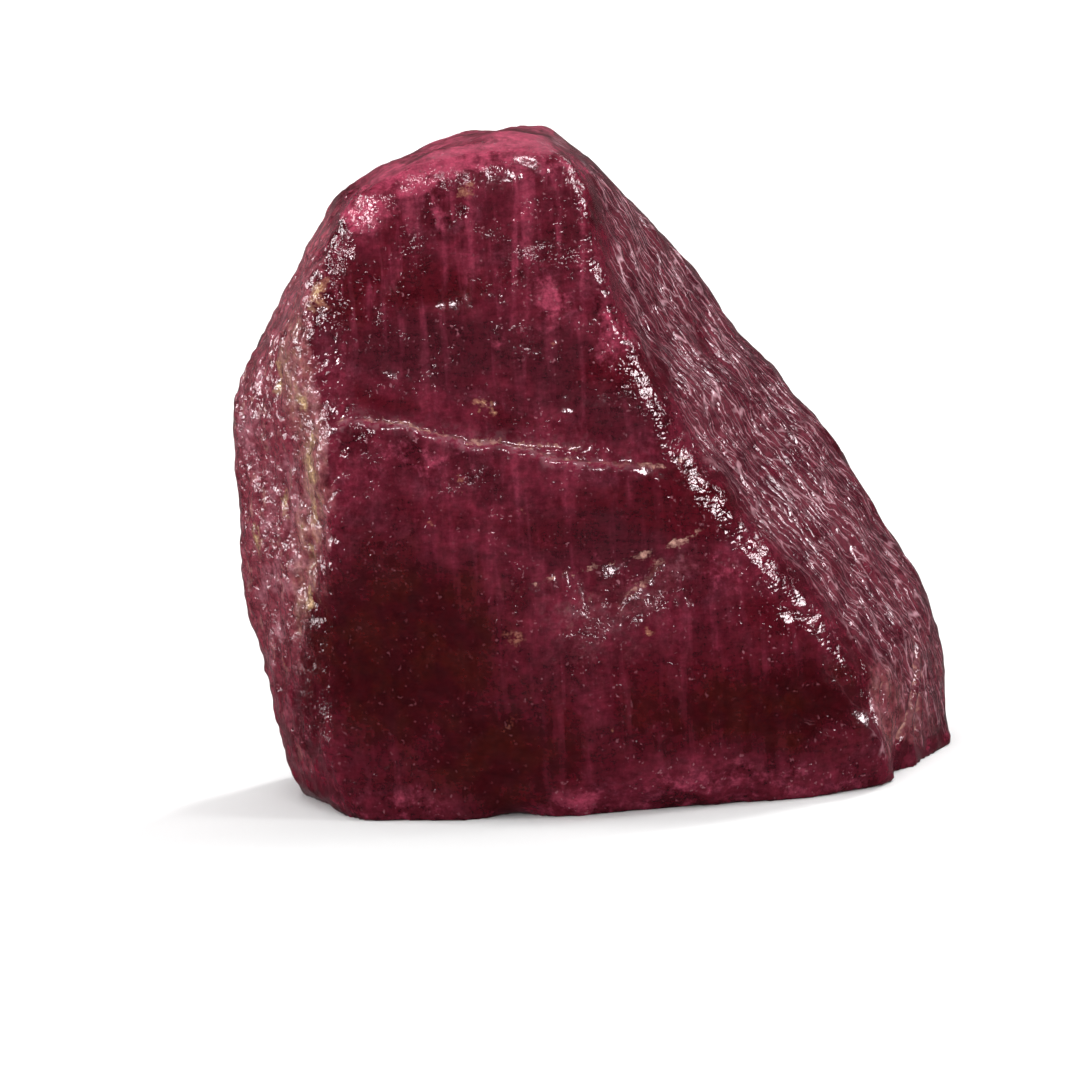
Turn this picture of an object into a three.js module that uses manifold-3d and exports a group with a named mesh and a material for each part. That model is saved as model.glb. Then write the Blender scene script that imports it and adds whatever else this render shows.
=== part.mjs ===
// Raw ruby crystal: one rough stone bounded by crystal faces and broken ones.
// Millimetres. +Z up, the front looks toward -Y, and the stone stands on its flat underside, z = 0.
// The dimensions below share one layout frame. The finished stone is then shifted sideways, so that
// the origin is the middle of its footprint.
import * as THREE from "three";
import { mergeVertices } from "three/addons/utils/BufferGeometryUtils.js";
import { ImprovedNoise } from "three/addons/math/ImprovedNoise.js";
import Module from "manifold-3d";

// ---- Driving dimensions ---------------------------------------------------------------------

const CORE = new THREE.Vector3(-1, 0, 15); // a point deep inside, from which the surface is found
const REACH = 45; // farther from the core than any point of the surface
const MESH_DETAIL = 21; // the surface is sampled along 20 * (detail + 1)^2 / 2 directions
const RIDGE_ROUNDING = 0.32; // how softly two faces run into each other
const SCOOP_ROUNDING = 0.3; // the same, at the rim of a scoop
const WAVES = [
  // gentle unevenness of every face: how far apart the waves are, and how high
  { spacing: 9, height: 0.55 },
  { spacing: 3.6, height: 0.22 },
  { spacing: 1.7, height: 0.09 },
];

// Every face of the stone: the way it looks (azimuth from +X toward +Y, elevation above the
// horizon, both in degrees) and a point it passes through.
const FACES = [
  // front
  { name: "front_upper", azimuth: -93, elevation: 13, through: [-6, -7.3, 27] },
  { name: "front_lower_left", azimuth: -106, elevation: -3, through: [-9, -9.6, 8] },
  { name: "front_lower_right", azimuth: -76, elevation: 6, through: [5, -10.2, 7] },
  { name: "front_foot", azimuth: -86, elevation: -40, through: [2, -10.1, 0.6] },
  { name: "corner_foot", azimuth: -58, elevation: -35, through: [14.3, -7.6, 1] },
  // right, behind the long ridge that runs down from the tip
  { name: "right_tip", azimuth: -18, elevation: 11, through: [0.6, -6.6, 31.6] },
  { name: "right_long", azimuth: -28, elevation: 30, through: [10.9, -8.5, 10.3] },
  { name: "right_corner", azimuth: -22, elevation: 4, through: [16.9, -2.4, 1] },
  { name: "right_end", azimuth: 8, elevation: 5, through: [19.7, 3, 3] },
  // left
  { name: "left_upper", azimuth: -170, elevation: 29, through: [-14, -6.6, 30.3] },
  { name: "left_middle", azimuth: -150, elevation: 2, through: [-13.9, -8.7, 20] },
  { name: "left_lower", azimuth: -158, elevation: -12, through: [-18, -2, 6] },
  { name: "left_foot", azimuth: -160, elevation: -45, through: [-16.3, -3, 0.4] },
  // tip
  { name: "tip_left", azimuth: 178, elevation: 68, through: [-9.2, 0, 34.8] },
  { name: "tip_top", azimuth: 170, elevation: 83, through: [-4.5, 0, 36.2] },
  { name: "tip_right", azimuth: 0, elevation: 40, through: [1.2, 0, 34] },
  { name: "tip_front", azimuth: -95, elevation: 52, through: [-4, -4.4, 35.8] },
  // back
  { name: "back_upper", azimuth: 97, elevation: 24, through: [-3, 8.6, 26] },
  { name: "back_middle", azimuth: 88, elevation: 5, through: [0, 13, 12] },
  { name: "back_foot", azimuth: 95, elevation: -38, through: [0, 12, 1.5] },
  { name: "back_right_tip", azimuth: 35, elevation: 36, through: [4.7, 6, 30] },
  { name: "back_right", azimuth: 50, elevation: 26, through: [13.6, 7, 19] },
  { name: "back_right_low", azimuth: 30, elevation: 23, through: [18.1, 5, 10.5] },
  { name: "back_left_tip", azimuth: 168, elevation: 34, through: [-16.8, 3, 27.7] },
  { name: "back_left", azimuth: 172, elevation: 1, through: [-19.9, 3, 17] },
  { name: "back_left_low", azimuth: 168, elevation: -17, through: [-19.1, 3, 7] },
  { name: "back_left_wide", azimuth: 128, elevation: 8, through: [-13, 9, 14] },
];

// The two faces that meet in a valley instead of on a ridge.
const VALLEY = { faces: ["right_tip", "right_long"], rounding: 1.2 };

// Shell-shaped breaks, each the bite of an ellipsoid lying mostly outside the stone.
const SCOOPS = [
  { name: "front_hollow", centre: [2, -16.5, 14.1], radii: [11, 7.2, 6.2], tilt: -16 },
  { name: "foot_notch", centre: [-5.6, -12.5, -1.2], radii: [2.6, 5, 2.2], tilt: 0 },
  { name: "right_step", centre: [15.6, 9.4, 20.6], radii: [3, 6, 3], tilt: 0 },
  { name: "tip_nick", centre: [-8.2, -1, 36.6], radii: [1.3, 3.5, 1.3], tilt: 0 },
  { name: "shoulder_nick", centre: [-14.2, -4, 33], radii: [1.3, 3.5, 1.3], tilt: 0 },
  { name: "back_shell", centre: [4, 24.5, 22], radii: [15, 14.5, 8], tilt: 24 },
  { name: "heel_shell", centre: [-7, 22, 6], radii: [12, 10.5, 6.5], tilt: -12 },
];

// The crack across the front: below this line the stone stands a little prouder.
const CRACK_LINE = [
  [-15, 21.9],
  [-10.2, 21.6],
  [-6.5, 20.5],
  [-2.8, 19.6],
  [0.3, 18.9],
  [5, 18.7],
];
const CRACK_STEP = { height: 0.55, drop: 0.5, fade: 5, ends: [-14.5, 4] };

const STONE_COLOUR = 0x6b2a38;

// ---- Shape ----------------------------------------------------------------------------------

const noise = new ImprovedNoise();
const rad = THREE.MathUtils.degToRad;

const planes = FACES.map(({ name, azimuth, elevation, through }) => {
  const normal = new THREE.Vector3(
    Math.cos(rad(elevation)) * Math.cos(rad(azimuth)),
    Math.cos(rad(elevation)) * Math.sin(rad(azimuth)),
    Math.sin(rad(elevation)),
  );
  return { name, normal, offset: normal.dot(new THREE.Vector3(...through)) };
});
const valleyPlanes = planes.filter(({ name }) => VALLEY.faces.includes(name));
const ridgePlanes = planes.filter(({ name }) => !VALLEY.faces.includes(name));

const scoops = SCOOPS.map(({ centre, radii, tilt }) => ({
  centre: new THREE.Vector3(...centre),
  radii: new THREE.Vector3(...radii),
  turn: new THREE.Matrix4().makeRotationY(rad(tilt)),
}));

function softMax(values, rounding) {
  const top = Math.max(...values);
  const sum = values.reduce((s, v) => s + Math.exp((v - top) / rounding), 0);
  return top + rounding * Math.log(sum);
}

// How far a point lies inside a scoop, in millimetres, roughly.
function depthInScoop({ centre, radii, turn }, point) {
  const local = point.clone().sub(centre).applyMatrix4(turn).divide(radii);
  return (1 - local.length()) * Math.min(radii.x, radii.y, radii.z);
}

function crackHeight(x) {
  const i = CRACK_LINE.findIndex(([end]) => x < end);
  if (i === 0) return CRACK_LINE[0][1];
  if (i < 0) return CRACK_LINE.at(-1)[1];
  const [[x0, z0], [x1, z1]] = [CRACK_LINE[i - 1], CRACK_LINE[i]];
  return THREE.MathUtils.mapLinear(x, x0, x1, z0, z1);
}

// How much the stone is thickened under the crack.
function crackLip(point) {
  if (point.y > CORE.y) return 0;
  const { height, drop, fade, ends } = CRACK_STEP;
  const below = crackHeight(point.x) - point.z;
  const along =
    THREE.MathUtils.smoothstep(point.x, ends[0] - 1, ends[0] + 1) *
    (1 - THREE.MathUtils.smoothstep(point.x, ends[1] - 3, ends[1] + 3));
  const rise = THREE.MathUtils.smoothstep(below, -drop / 2, drop / 2);
  return height * along * rise * Math.exp(-Math.max(below, 0) / fade);
}

function waves(point) {
  return WAVES.reduce((sum, { spacing, height }, i) => {
    const p = point.clone().divideScalar(spacing).addScalar(11.3 * (i + 1));
    return sum + height * noise.noise(p.x, p.y, p.z);
  }, 0);
}

// Negative inside the stone, positive outside.
function outside(point) {
  const above = ({ normal, offset }) => normal.dot(point) - offset;
  const valley = -softMax(valleyPlanes.map((plane) => -above(plane)), VALLEY.rounding);
  const faces = softMax([valley, ...ridgePlanes.map(above)], RIDGE_ROUNDING);
  const cuts = scoops.map((s) => depthInScoop(s, point));
  return softMax([faces - crackLip(point), ...cuts], SCOOP_ROUNDING) - waves(point);
}

function surfacePoint(direction) {
  let inner = 0;
  let outer = REACH;
  while (outer - inner > 1e-4) {
    const middle = (inner + outer) / 2;
    if (outside(CORE.clone().addScaledVector(direction, middle)) < 0) inner = middle;
    else outer = middle;
  }
  return CORE.clone().addScaledVector(direction, inner);
}

function roughStone() {
  const sphere = new THREE.IcosahedronGeometry(1, MESH_DETAIL);
  sphere.deleteAttribute("normal");
  sphere.deleteAttribute("uv");
  const geometry = mergeVertices(sphere, 1e-4);
  const position = geometry.getAttribute("position");
  const direction = new THREE.Vector3();
  for (let i = 0; i < position.count; i++) {
    direction.fromBufferAttribute(position, i).normalize();
    position.setXYZ(i, ...surfacePoint(direction));
  }
  return geometry;
}

// ---- Flat underside -------------------------------------------------------------------------

const wasm = await Module();
wasm.setup();

function toSolid(geometry) {
  const plain = geometry.clone();
  plain.deleteAttribute("normal");
  plain.deleteAttribute("uv");
  const merged = mergeVertices(plain, 1e-4);
  return new wasm.Manifold(
    new wasm.Mesh({
      numProp: 3,
      vertProperties: merged.getAttribute("position").array,
      triVerts: new Uint32Array(merged.index.array),
    }),
  );
}

function toGeometry(solid) {
  const { vertProperties, triVerts } = solid.getMesh();
  const geometry = new THREE.BufferGeometry();
  geometry.setAttribute("position", new THREE.BufferAttribute(vertProperties, 3));
  geometry.setIndex(new THREE.BufferAttribute(triVerts, 1));
  geometry.computeVertexNormals();
  return geometry;
}

const belowGround = new THREE.BoxGeometry(2 * REACH, 2 * REACH, REACH).translate(0, 0, -REACH / 2);
const stone = toSolid(roughStone()).subtract(toSolid(belowGround));

const shape = toGeometry(stone);
shape.computeBoundingBox();
const middle = shape.boundingBox.getCenter(new THREE.Vector3());
shape.translate(-middle.x, -middle.y, 0);

const crystal = new THREE.Mesh(
  shape,
  new THREE.MeshStandardMaterial({ color: STONE_COLOUR, roughness: 0.35, metalness: 0 }),
);
crystal.name = "ruby_crystal";

const part = new THREE.Group();
part.name = "raw_ruby_crystal";
part.add(crystal);
export default part;
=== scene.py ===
"""Looks for the raw ruby crystal: a finely meshed stone laid over the CAD solid, with its broken faces,
grooves, cracks, stains and colours, on a pale floor in soft studio light.

Lengths are in millimetres until the mesh is made."""

import itertools
import math
from types import SimpleNamespace

import bpy
import numpy as np
from mathutils import Euler, Matrix, Vector
from mathutils.bvhtree import BVHTree


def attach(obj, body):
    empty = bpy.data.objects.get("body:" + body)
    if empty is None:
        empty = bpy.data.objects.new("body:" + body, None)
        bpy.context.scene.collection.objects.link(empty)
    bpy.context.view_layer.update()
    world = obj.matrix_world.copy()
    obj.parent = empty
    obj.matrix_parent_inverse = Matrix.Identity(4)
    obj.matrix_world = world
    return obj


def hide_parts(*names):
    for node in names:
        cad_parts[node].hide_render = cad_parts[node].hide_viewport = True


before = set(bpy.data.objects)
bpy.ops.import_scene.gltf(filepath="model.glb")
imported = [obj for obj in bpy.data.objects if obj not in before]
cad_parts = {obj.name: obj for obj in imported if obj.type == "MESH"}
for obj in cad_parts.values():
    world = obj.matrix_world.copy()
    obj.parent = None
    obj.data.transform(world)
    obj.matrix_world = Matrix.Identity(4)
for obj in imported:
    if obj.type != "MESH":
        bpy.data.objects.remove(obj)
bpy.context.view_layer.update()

MM = 0.001  # one millimetre in metres
CAD_NODE = "ruby_crystal"
STONE = "ruby_stone"

# ---- The stone's features, in mm in the CAD frame ---------------------------------------------

MESH_DIVISIONS = 99  # each of the 20 triangles of the starting sphere is cut into this many squared
CORE = (-1.0, -1.0, 15.0)  # a point deep inside
SPREAD = (19.5, 12.5, 18.5)  # the stone's rough half sizes, which even out the mesh

# Which way the main faces look.
RIGHT_FACE = (0.765, -0.407, 0.5)
RIGHT_TIP = (0.934, -0.303, 0.19)
RIGHT_CORNER = (0.925, -0.374, 0.07)
FRONT_UPPER = (-0.051, -0.973, 0.225)
FRONT_LOWER_LEFT = (-0.275, -0.96, -0.052)
FRONT_LOWER_RIGHT = (0.24, -0.965, 0.105)
LEFT_UPPER = (-0.86, -0.152, 0.485)
LEFT_MIDDLE = (-0.865, -0.5, 0.035)
LEFT_LOWER = (-0.907, -0.366, -0.208)
FRONT_FACES = (FRONT_UPPER, FRONT_LOWER_LEFT, FRONT_LOWER_RIGHT)
LEFT_FACES = (LEFT_UPPER, LEFT_MIDDLE, LEFT_LOWER)

GROOVE_ALONG = (0.565, 0.048, -0.824)  # the grooves of the right side run this way
GROOVE_ACROSS = (0.311, 0.913, 0.267)

LONG_RIDGE = [
    (0.2, -5.0, 35.0), (0.8, -7.2, 31.6), (1.2, -8.0, 28.2), (1.6, -8.9, 25.0), (3.6, -9.5, 21.7),
    (4.8, -9.6, 18.7), (7.0, -9.5, 15.5), (9.3, -9.5, 12.1), (12.0, -8.8, 9.2), (13.9, -8.4, 6.5),
    (15.3, -7.0, 4.5), (16.2, -5.1, 1.8),
]
LEFT_RIDGE = [
    (-12.7, -6.0, 31.8), (-13.6, -6.3, 30.3), (-13.8, -7.8, 26.7), (-13.4, -8.7, 22.9),
    (-13.1, -10.1, 19.8), (-13.2, -10.0, 17.7), (-14.3, -9.4, 14.4), (-15.0, -7.9, 12.1),
    (-16.3, -6.3, 6.9), (-15.8, -4.4, 0.8),
]
LEFT_OF_FRONT = -12.0  # the left ridge and the left side lie past this x
TIP = (-0.4, -1.5, 36.0)
BARK_LINE = [
    (-15.6, -5.6, 26.0), (-15.3, -6.9, 22.8), (-14.8, -8.0, 20.8), (-15.0, -8.0, 19.2), (-15.1, -7.5, 17.0),
    (-15.4, -7.1, 14.3), (-15.6, -6.8, 11.5),
]
HOLLOW = (-0.5, 13.2)  # the middle (x, z) of the hollow in the front, worn smooth
HOLLOW_SIZE = (5.5, 3.6)  # its half sizes
WEAR = 110  # how many times the worn parts are smoothed
CRACK = [
    (-13.2, -9.1, 21.9), (-12.1, -9.3, 22.0), (-10.0, -9.8, 21.7), (-8.4, -9.9, 21.1),
    (-6.3, -9.9, 20.5), (-4.7, -9.7, 20.3), (-2.6, -10.3, 19.6), (-1.2, -10.5, 19.2),
    (0.5, -10.7, 19.1), (2.6, -10.7, 18.7), (4.0, -10.2, 18.5), (5.2, -9.4, 18.8),
]
CRACK_BRANCH = [(-3.9, -9.8, 20.2), (-2.4, -10.0, 20.0), (-1.4, -10.1, 19.9), (-0.3, -10.2, 19.9)]
LEDGE = [
    (-4.3, -11.6, 12.5), (-2.8, -11.3, 12.9), (0.2, -10.2, 13.2), (2.4, -9.8, 13.8),
    (4.5, -9.7, 14.3), (5.6, -9.7, 14.8),
]
LEDGE_CRACK = [(1.1, -10.9, 11.5), (2.0, -10.5, 11.9), (2.6, -10.2, 12.3), (3.4, -10.0, 13.4)]
CORNER_CRACKS = [
    [(17.6, -1.1, 6.7), (17.1, -2.7, 4.2), (16.6, -3.9, 2.7), (16.2, -5.1, 1.6)],
    [(15.6, -6.4, 5.2), (15.2, -7.2, 4.2)],
    [(17.9, -0.9, 4.9), (17.5, -2.2, 3.4), (17.4, -2.4, 2.0)],
]
BACK_CRACKS = [
    [(-13.0, 8.5, 24.0), (-10.0, 9.5, 22.8), (-6.5, 10.5, 22.3), (-2.0, 11.0, 20.5), (1.0, 11.0, 19.8)],
    [(-9.0, 11.0, 9.5), (-5.0, 12.0, 10.6), (0.5, 12.5, 9.8), (4.0, 12.0, 10.8), (9.0, 10.0, 10.2)],
]

# Beige stains: a place, a radius and how strong.
STAINS = [
    (-14.2, -7.1, 28.7, 0.6, 0.9), (-16.7, -4.3, 23.8, 0.5, 1.0), (-15.3, -6.9, 22.8, 0.45, 1.0),
    (-14.8, -8.0, 20.8, 0.4, 0.9), (-15.0, -8.0, 19.2, 0.6, 0.8), (-15.1, -7.5, 17.0, 0.5, 0.9),
    (-16.7, -4.7, 16.9, 0.5, 0.7), (-18.5, -2.1, 14.7, 0.5, 0.8), (-15.4, -7.1, 14.3, 0.35, 0.8),
    (-15.6, -6.8, 12.0, 0.45, 0.9), (-17.4, -4.2, 8.3, 0.3, 0.7), (-5.8, -6.8, 33.6, 0.4, 0.9),
    (-5.8, -9.3, 22.3, 0.32, 1.0), (-5.1, -9.3, 22.2, 0.2, 0.9), (-1.5, -8.8, 25.3, 0.25, 0.9),
    (-8.6, -10.7, 16.1, 0.28, 0.9), (-6.7, -10.4, 18.7, 0.28, 0.7), (-6.8, -10.6, 17.6, 0.22, 0.8),
    (-4.0, -10.9, 16.7, 0.16, 0.9), (2.8, -10.1, 12.4, 0.3, 1.0), (2.6, -11.7, 9.9, 0.2, 0.9),
    (0.2, -12.6, 4.8, 0.16, 0.7), (-4.5, -12.2, 9.9, 0.7, 0.3), (-12.9, -9.2, 6.2, 0.2, 0.6),
    (-5.3, -11.5, 5.2, 0.5, 0.3), (6.0, 9.5, 18.0, 0.6, 0.8), (-9.0, 9.0, 20.0, 0.7, 0.8),
    (-14.0, 5.5, 12.0, 0.6, 0.9), (2.0, 11.0, 7.0, 0.5, 0.8), (14.0, 6.0, 8.0, 0.5, 0.7),
]

# Patches of the front: the middle (x, z), half sizes along and across, tilt in degrees, and strength.
# Those along the top rim and along the bottom edge are painted glow, where the thin edges let light
# through; the others are the stone's own lighter pink.
PINK_PATCHES = [
    (-7.0, 35.0, 5.5, 0.9, 11, 1.0), (-2.3, 36.0, 3.2, 1.3, -4, 1.0), (-11.3, 32.6, 1.3, 1.4, 40, 1.0),
    (-8.5, 34.1, 1.9, 0.6, 10, 0.9), (-7.1, 32.7, 0.45, 1.3, 0, 0.8), (-1.7, 27.3, 1.4, 1.0, -25, 0.75),
    (1.5, 25.5, 0.9, 1.7, 0, 0.7), (0.3, 31.5, 0.5, 3.0, -5, 0.5), (-1.7, 1.0, 1.3, 1.2, 0, 0.8),
    (-9.5, 1.0, 3.5, 0.6, 0, 0.5), (6.5, 1.3, 8.0, 0.8, 0, 0.4), (-9.5, 19.5, 2.8, 0.7, -8, 0.4),
    (7.0, 12.6, 1.2, 0.9, -50, 0.4),
]
PINK_STREAKS = [
    (-3.3, 30.8, 0.15, 3.4, -5, 1.0), (-0.9, 31.0, 0.12, 2.8, -5, 0.9), (-2.7, 31.5, 0.1, 2.4, -5, 0.5),
    (0.2, 29.8, 0.12, 2.6, -4, 0.7), (-5.6, 30.6, 0.2, 2.8, -4, 0.6), (-7.2, 29.8, 0.2, 2.4, -3, 0.5),
    (-4.0, 18.0, 0.2, 1.8, -2, 0.5), (-1.5, 17.8, 0.2, 1.6, -2, 0.5), (2.0, 17.6, 0.25, 1.4, -2, 0.4),
    (-7.9, 18.0, 0.25, 1.8, -2, 0.4), (4.2, 5.0, 0.5, 2.6, 0, 0.15), (7.0, 4.6, 0.5, 2.4, 0, 0.15),
    (9.4, 4.0, 0.5, 2.0, 0, 0.15),
]
DARK_STREAKS = [
    (-4.5, 31.8, 0.5, 3.2, -5, 1.0), (-2.0, 31.2, 0.45, 2.8, -5, 0.8), (-9.8, 30.0, 0.4, 2.0, -3, 0.6),
    (-8.3, 30.2, 0.25, 1.8, -3, 0.5), (-0.2, 30.6, 0.3, 2.6, -5, 0.6), (-3.0, 18.0, 0.3, 1.8, 0, 0.4),
]
CLEAR_PATCHES = [
    (-10.2, 8.8, 6.6, 7.0, 0, 1.0), (-6.5, 3.6, 5.4, 3.6, 0, 0.95), (-8.2, 28.6, 5.0, 1.2, -4, 0.45),
    (-12.6, 28.0, 1.3, 2.3, 0, 0.35),
    (9.0, 4.9, 5.8, 3.2, -5, 0.88), (3.5, 5.2, 3.8, 2.8, 0, 0.65),
]
CALM_PATCHES = [
    (-9.2, 8.8, 5.8, 7.0, 0, 0.65), (-6.5, 3.6, 5.4, 3.6, 0, 0.6), (2.7, 17.6, 1.6, 1.1, 0, 0.9),
]
CRIMSON_PATCHES = [
    (-8.2, 28.8, 5.4, 1.6, -4, 1.0), (-12.2, 28.5, 1.5, 2.6, 0, 0.8), (-9.8, 31.5, 1.4, 2.0, 0, 0.7),
    (1.8, 23.4, 2.2, 1.6, -20, 0.8), (4.8, 16.3, 3.2, 2.2, -20, 1.0), (9.2, 9.6, 3.0, 1.2, -42, 0.9),
    (-11.0, 22.6, 2.6, 0.8, -4, 0.8), (-8.5, 16.9, 3.0, 0.9, -10, 0.6), (-2.3, 4.5, 0.9, 3.8, 0, 0.8),
    (-13.9, 7.0, 1.0, 3.5, 0, 0.6), (6.0, 6.2, 8.5, 4.2, -4, 0.75), (-3.0, 15.8, 4.0, 1.4, -6, 0.6),
    (-3.6, 21.4, 3.5, 0.5, -10, 0.6), (0.5, 17.2, 3.8, 1.0, 0, 0.7), (1.5, 3.0, 3.0, 1.0, 0, 0.5),
]
DUSK_PATCHES = [
    (-2.2, 7.2, 2.8, 4.6, 0, 0.5), (-3.5, 14.0, 3.0, 2.6, 0, 0.5),
    (1.0, 10.6, 4.2, 2.2, 8, 0.55), (-1.5, 16.2, 4.8, 1.4, 0, 0.75),
    (-7.5, 25.4, 5.6, 2.2, -4, 1.0), (-1.4, 23.8, 3.4, 2.3, -10, 1.0), (1.6, 21.3, 3.2, 1.2, -8, 0.8),
    (0.6, 15.1, 6.0, 2.3, 6, 1.0), (8.0, 5.2, 5.4, 2.6, -5, 0.9), (-5.5, 18.2, 3.6, 1.7, -8, 0.6),
]
SLOPE_PATCHES = [
    (0.8, 11.2, 3.8, 1.5, 12, 0.65), (-0.2, 9.2, 2.4, 1.6, 0, 0.4), (4.5, 12.6, 2.0, 1.0, 25, 0.5),
]
GLINT_PATCHES = [
    (-6.1, 31.8, 1.0, 1.8, 0, 1.0), (-8.8, 30.6, 1.2, 1.3, 0, 0.9), (-3.3, 25.4, 1.7, 1.1, 0, 1.0),
    (-10.4, 26.4, 1.3, 1.4, 0, 0.8), (-6.4, 18.4, 2.2, 1.6, 0, 0.8), (-0.8, 9.0, 1.6, 2.4, 0, 0.8),
    (1.5, 11.0, 3.2, 1.6, 10, 0.4), (-12.4, 19.4, 1.5, 2.8, 0, 1.0), (1.4, 25.6, 1.0, 1.4, 0, 1.0),
    (-7.5, 34.2, 3.5, 0.8, 8, 0.8), (-2.5, 30.0, 3.5, 3.4, 0, 0.7), (-11.2, 32.6, 1.8, 1.5, 40, 1.0),
    (8.0, 6.0, 4.5, 1.6, 0, 0.35), (-11.5, 2.2, 2.4, 1.4, 0, 0.45), (-1.6, 1.6, 1.6, 1.2, 0, 0.6),
]

# Where the left ridge shines.
LEFT_GLINTS = [
    (-11.4, 33.1, 0.9, 0.6, 35, 1.0), (-12.8, 31.4, 0.5, 0.9, 0, 0.9), (-13.5, 29.6, 0.5, 1.2, 0, 1.0),
    (-13.4, 26.8, 0.4, 0.6, 0, 0.7), (-13.2, 23.7, 0.5, 1.1, 0, 1.0), (-12.8, 19.6, 0.9, 2.1, 0, 1.0),
    (-13.4, 17.4, 0.4, 0.6, 0, 0.6), (-15.6, 8.4, 0.4, 1.0, 10, 0.6),
]

PITS = [
    # a place, a radius and a depth
    (-6.1, -7.0, 32.8, 0.5, 0.35), (-15.4, -7.1, 14.2, 0.35, 0.35), (-16.6, -4.4, 24.0, 0.3, 0.25),
    (-7.3, -10.4, 15.2, 0.35, 0.2), (-5.1, -9.3, 22.5, 0.35, 0.25), (2.9, -10.1, 12.8, 0.4, 0.25),
    (-1.5, -8.8, 25.6, 0.3, 0.2), (-9.7, -9.2, 28.9, 0.5, 0.2), (-14.3, -7.2, 27.9, 0.4, 0.25),
]

# What the mesh carries for the material, one number a vertex, mostly from 0 to 1.
FIELDS = (
    "stain",  # beige and olive stains
    # pink also holds painted glow: on the upward faces near the tip and along the bottom edge
    "pink", "crimson", "dusk", "clear",  # patches of each colour; clear is dark, glassy and even
    "streak",  # upright streaks, pink above 0 and dark below
    "skin",  # rough mauve skin
    "matte",  # skin that shows less, on the slope under the ledge
    "bark",  # fibres in the skin, along the left side
    "grooved",  # the right side's grooves
    "front",  # the three front faces
    "high",  # rises toward the tip
    "dry",  # less gloss
    # crumple also sets where shade is painted into the hollows of the lumps
    "knobs", "crumple",  # coarse and fine lumps in the surface
    "crack",  # distance from the nearest crack, in mm
    # halo: partly the cracks' own paler rim, partly painted highlight on the lip below the main crack
    "halo",  # the paler rim along the cracks
)

# ---- Small tools ------------------------------------------------------------------------------


def unit(v):
    v = np.asarray(v, float)
    return v / np.linalg.norm(v, axis=-1, keepdims=True)


def smoothstep(x, low, high):
    t = np.clip((x - low) / (high - low), 0.0, 1.0)
    return t * t * (3.0 - 2.0 * t)


def hashed(cell, seed):
    """One pseudo-random whole number per lattice cell."""
    x, y, z = (cell[..., i].astype(np.uint64) for i in range(3))
    h = x * np.uint64(374761393) + y * np.uint64(668265263) + z * np.uint64(2246822519)
    h += np.uint64(seed * 3266489917 + 1)
    h ^= h >> np.uint64(13)
    h *= np.uint64(1274126177)
    h ^= h >> np.uint64(16)
    return h & np.uint64(0xFFFFFFFF)


GRADIENTS = unit(np.random.default_rng(7).normal(size=(4096, 3)))


def noise(p, seed):
    """Smooth noise from about -1 to 1, with one cell per unit of p."""
    cell = np.floor(p).astype(np.int64)
    t = p - cell
    fade = t * t * t * (t * (t * 6.0 - 15.0) + 10.0)
    total = np.zeros(len(p))
    for corner in itertools.product((0, 1), repeat=3):
        c = np.array(corner)
        gradient = GRADIENTS[(hashed(cell + c, seed) % np.uint64(4096)).astype(int)]
        weight = np.prod(np.where(c, fade, 1.0 - fade), axis=1)
        total += weight * np.einsum("ij,ij->i", gradient, t - c)
    return 1.6 * total


def cells(p, seed):
    """For a scatter of points, one in each lattice cell: the distances to the nearest and the second
    nearest, and the nearest one's number and place."""
    cell = np.floor(p).astype(np.int64)
    first = np.full(len(p), 9.0)
    second = np.full(len(p), 9.0)
    who = np.zeros(len(p), np.uint64)
    where = np.zeros_like(p)
    for offset in itertools.product((-1, 0, 1), repeat=3):
        near = cell + np.array(offset)
        h = hashed(near, seed)
        jitter = [(h >> np.uint64(s) & np.uint64(255)).astype(float) / 255.0 for s in (0, 8, 16)]
        jitter = np.stack(jitter, 1)
        d = np.linalg.norm(near + jitter - p, axis=1)
        closer = d < first
        second = np.where(closer, first, np.minimum(second, d))
        who = np.where(closer, h, who)
        where = np.where(closer[:, None], near + jitter, where)
        first = np.where(closer, d, first)
    return first, second, who, where


def from_line(p, line):
    """Distance of each point from a broken line."""
    best = np.full(len(p), 1e9)
    for a, b in zip(line, line[1:]):
        a, b = np.array(a), np.array(b)
        t = np.clip((p - a) @ (b - a) / ((b - a) @ (b - a)), 0.0, 1.0)
        best = np.minimum(best, np.linalg.norm(p - a - t[:, None] * (b - a), axis=1))
    return best


def on_surface(line, p):
    """A broken line in steps of about a quarter of a millimetre, each of them moved onto the surface."""
    steps = [np.array(line[0])]
    for a, b in zip(line, line[1:]):
        a, b = np.array(a), np.array(b)
        parts = max(1, round(4.0 * np.linalg.norm(b - a)))
        steps += [a + (b - a) * i / parts for i in range(1, parts + 1)]
    moved = []
    for step in steps:
        d = np.sum((p - step) ** 2, axis=1)
        weight = np.exp((d.min() - d) / 0.12)
        moved.append(weight @ p / weight.sum())
    return moved


def height_of_line(x, line):
    """How high a broken line runs over each x."""
    return np.interp(x, [p[0] for p in line], [p[2] for p in line])


def looks(normals, low, high, *ways):
    """1 where the stone looks any of the given ways, 0 where it looks another."""
    return smoothstep(np.max([normals @ unit(way) for way in ways], axis=0), low, high)


def from_drawn_lines(p, *lines):
    """Distance of each point from the nearest of some lines drawn on the surface."""
    return np.minimum.reduce([from_line(p, on_surface(line, p)) for line in lines])


# ---- The mesh ---------------------------------------------------------------------------------


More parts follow.
